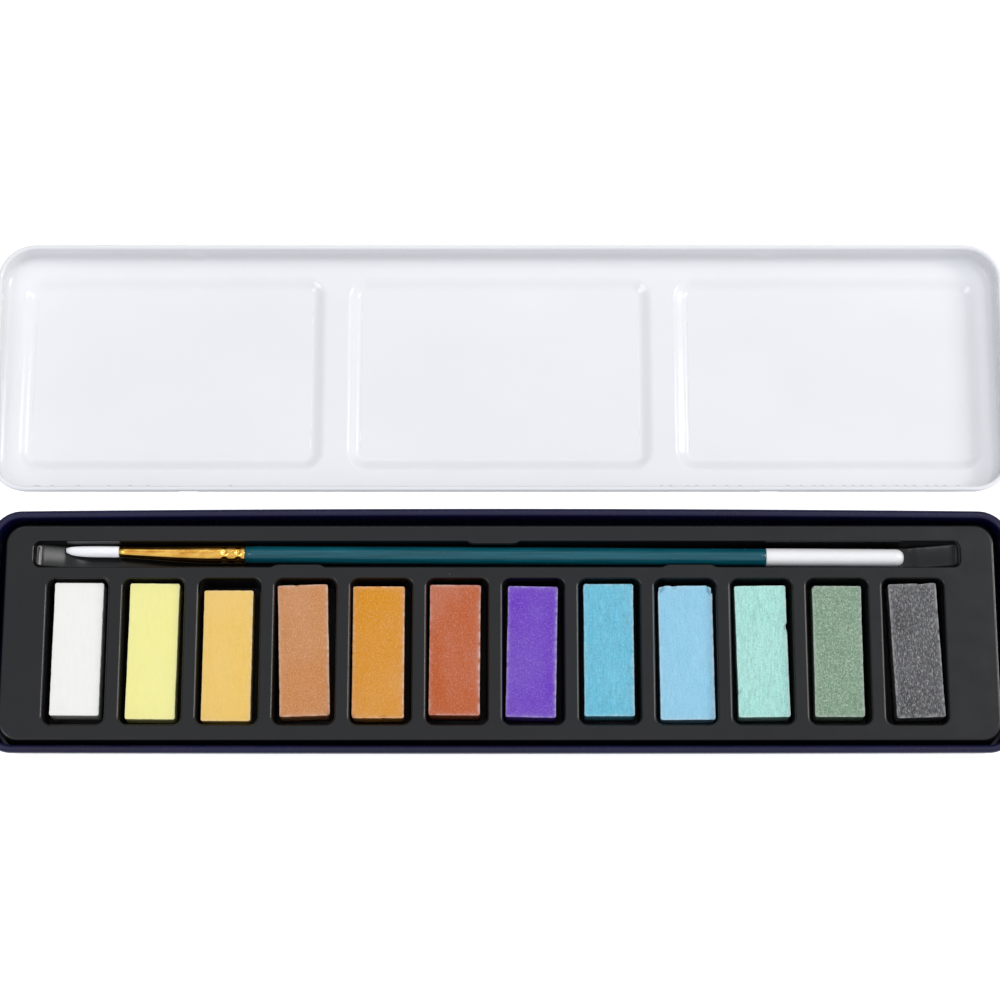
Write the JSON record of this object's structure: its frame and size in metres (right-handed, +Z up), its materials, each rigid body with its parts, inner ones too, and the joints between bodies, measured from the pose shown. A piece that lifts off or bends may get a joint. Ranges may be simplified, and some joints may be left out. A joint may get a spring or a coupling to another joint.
{
  "type": "watercolor pan set",
  "caption": "Slim watercolor pan set: a rolled-rim navy tin with a formed tray of pearl paint blocks and a brush, and a loose white lid that is the mixing palette.",
  "frame": {"origin": "middle of the floor rectangle that the whole set covers with the lid lying open behind the tin, on the surface it stands on", "axes": "+X along the tin's length, +Y from the tin towards the lid, +Z up"},
  "size_m": [0.2334, 0.1204, 0.0104],
  "materials": {
    "navy_lacquered_tin": "gloss navy lacquer on tinplate",
    "black_formed_plastic": "satin, formed",
    "white_enamelled_tin": "gloss white enamel on tinplate",
    "teal_lacquered_wood": "gloss teal lacquer",
    "gold_ferrule": "polished",
    "white_hair": "fine synthetic hair",
    "clear_resin": "cast",
    "pearl_white_paint": "pressed pigment cake with a fine pearl sparkle",
    "lemon_paint": "pressed pigment cake with a fine pearl sparkle",
    "pale_gold_paint": "pressed pigment cake with a fine pearl sparkle",
    "copper_tan_paint": "pressed pigment cake with a fine pearl sparkle",
    "orange_gold_paint": "pressed pigment cake with a fine pearl sparkle",
    "rust_red_paint": "pressed pigment cake with a fine pearl sparkle",
    "violet_paint": "pressed pigment cake with a fine pearl sparkle",
    "turquoise_paint": "pressed pigment cake with a fine pearl sparkle",
    "sky_blue_paint": "pressed pigment cake with a fine pearl sparkle",
    "mint_paint": "pressed pigment cake with a fine pearl sparkle",
    "sage_green_paint": "pressed pigment cake with a fine pearl sparkle",
    "charcoal_paint": "pressed pigment cake with a fine pearl sparkle"
  },
  "bodies": {
    "tin_base": {"tin_base": "navy_lacquered_tin"},
    "lid": {"lid": "white_enamelled_tin"},
    "insert_tray": {"insert_tray": "black_formed_plastic"},
    "brush": {"brush_handle": "teal_lacquered_wood", "brush_ferrule": "gold_ferrule", "brush_bristles": "white_hair", "brush_resin": "clear_resin"},
    "paint_pearl_white": {"paint_pearl_white": "pearl_white_paint"},
    "paint_lemon": {"paint_lemon": "lemon_paint"},
    "paint_pale_gold": {"paint_pale_gold": "pale_gold_paint"},
    "paint_copper_tan": {"paint_copper_tan": "copper_tan_paint"},
    "paint_orange_gold": {"paint_orange_gold": "orange_gold_paint"},
    "paint_rust_red": {"paint_rust_red": "rust_red_paint"},
    "paint_violet": {"paint_violet": "violet_paint"},
    "paint_turquoise": {"paint_turquoise": "turquoise_paint"},
    "paint_sky_blue": {"paint_sky_blue": "sky_blue_paint"},
    "paint_mint": {"paint_mint": "mint_paint"},
    "paint_sage_green": {"paint_sage_green": "sage_green_paint"},
    "paint_charcoal": {"paint_charcoal": "charcoal_paint"}
  },
  "joints": [
    {"name": "lid_turn", "type": "hinge", "parent": "tin_base", "child": "lid", "pos_m": [0, -0.0009, 0.00597], "axis": [-1, 0, 0], "range_deg": [-180, 0]},
    {"name": "tray_lift", "type": "slide", "parent": "tin_base", "child": "insert_tray", "axis": [0, 0, 1], "range_m": [0, 0.03]},
    {"name": "brush_lift", "type": "slide", "parent": "insert_tray", "child": "brush", "axis": [0, 0, 1], "range_m": [0, 0.03]},
    {"name": "pearl_white_lift", "type": "slide", "parent": "insert_tray", "child": "paint_pearl_white", "axis": [0, 0, 1], "range_m": [0, 0.015]},
    {"name": "lemon_lift", "type": "slide", "parent": "insert_tray", "child": "paint_lemon", "axis": [0, 0, 1], "range_m": [0, 0.015]},
    {"name": "pale_gold_lift", "type": "slide", "parent": "insert_tray", "child": "paint_pale_gold", "axis": [0, 0, 1], "range_m": [0, 0.015]},
    {"name": "copper_tan_lift", "type": "slide", "parent": "insert_tray", "child": "paint_copper_tan", "axis": [0, 0, 1], "range_m": [0, 0.015]},
    {"name": "orange_gold_lift", "type": "slide", "parent": "insert_tray", "child": "paint_orange_gold", "axis": [0, 0, 1], "range_m": [0, 0.015]},
    {"name": "rust_red_lift", "type": "slide", "parent": "insert_tray", "child": "paint_rust_red", "axis": [0, 0, 1], "range_m": [0, 0.015]},
    {"name": "violet_lift", "type": "slide", "parent": "insert_tray", "child": "paint_violet", "axis": [0, 0, 1], "range_m": [0, 0.015]},
    {"name": "turquoise_lift", "type": "slide", "parent": "insert_tray", "child": "paint_turquoise", "axis": [0, 0, 1], "range_m": [0, 0.015]},
    {"name": "sky_blue_lift", "type": "slide", "parent": "insert_tray", "child": "paint_sky_blue", "axis": [0, 0, 1], "range_m": [0, 0.015]},
    {"name": "mint_lift", "type": "slide", "parent": "insert_tray", "child": "paint_mint", "axis": [0, 0, 1], "range_m": [0, 0.015]},
    {"name": "sage_green_lift", "type": "slide", "parent": "insert_tray", "child": "paint_sage_green", "axis": [0, 0, 1], "range_m": [0, 0.015]},
    {"name": "charcoal_lift", "type": "slide", "parent": "insert_tray", "child": "paint_charcoal", "axis": [0, 0, 1], "range_m": [0, 0.015]}
  ]
}
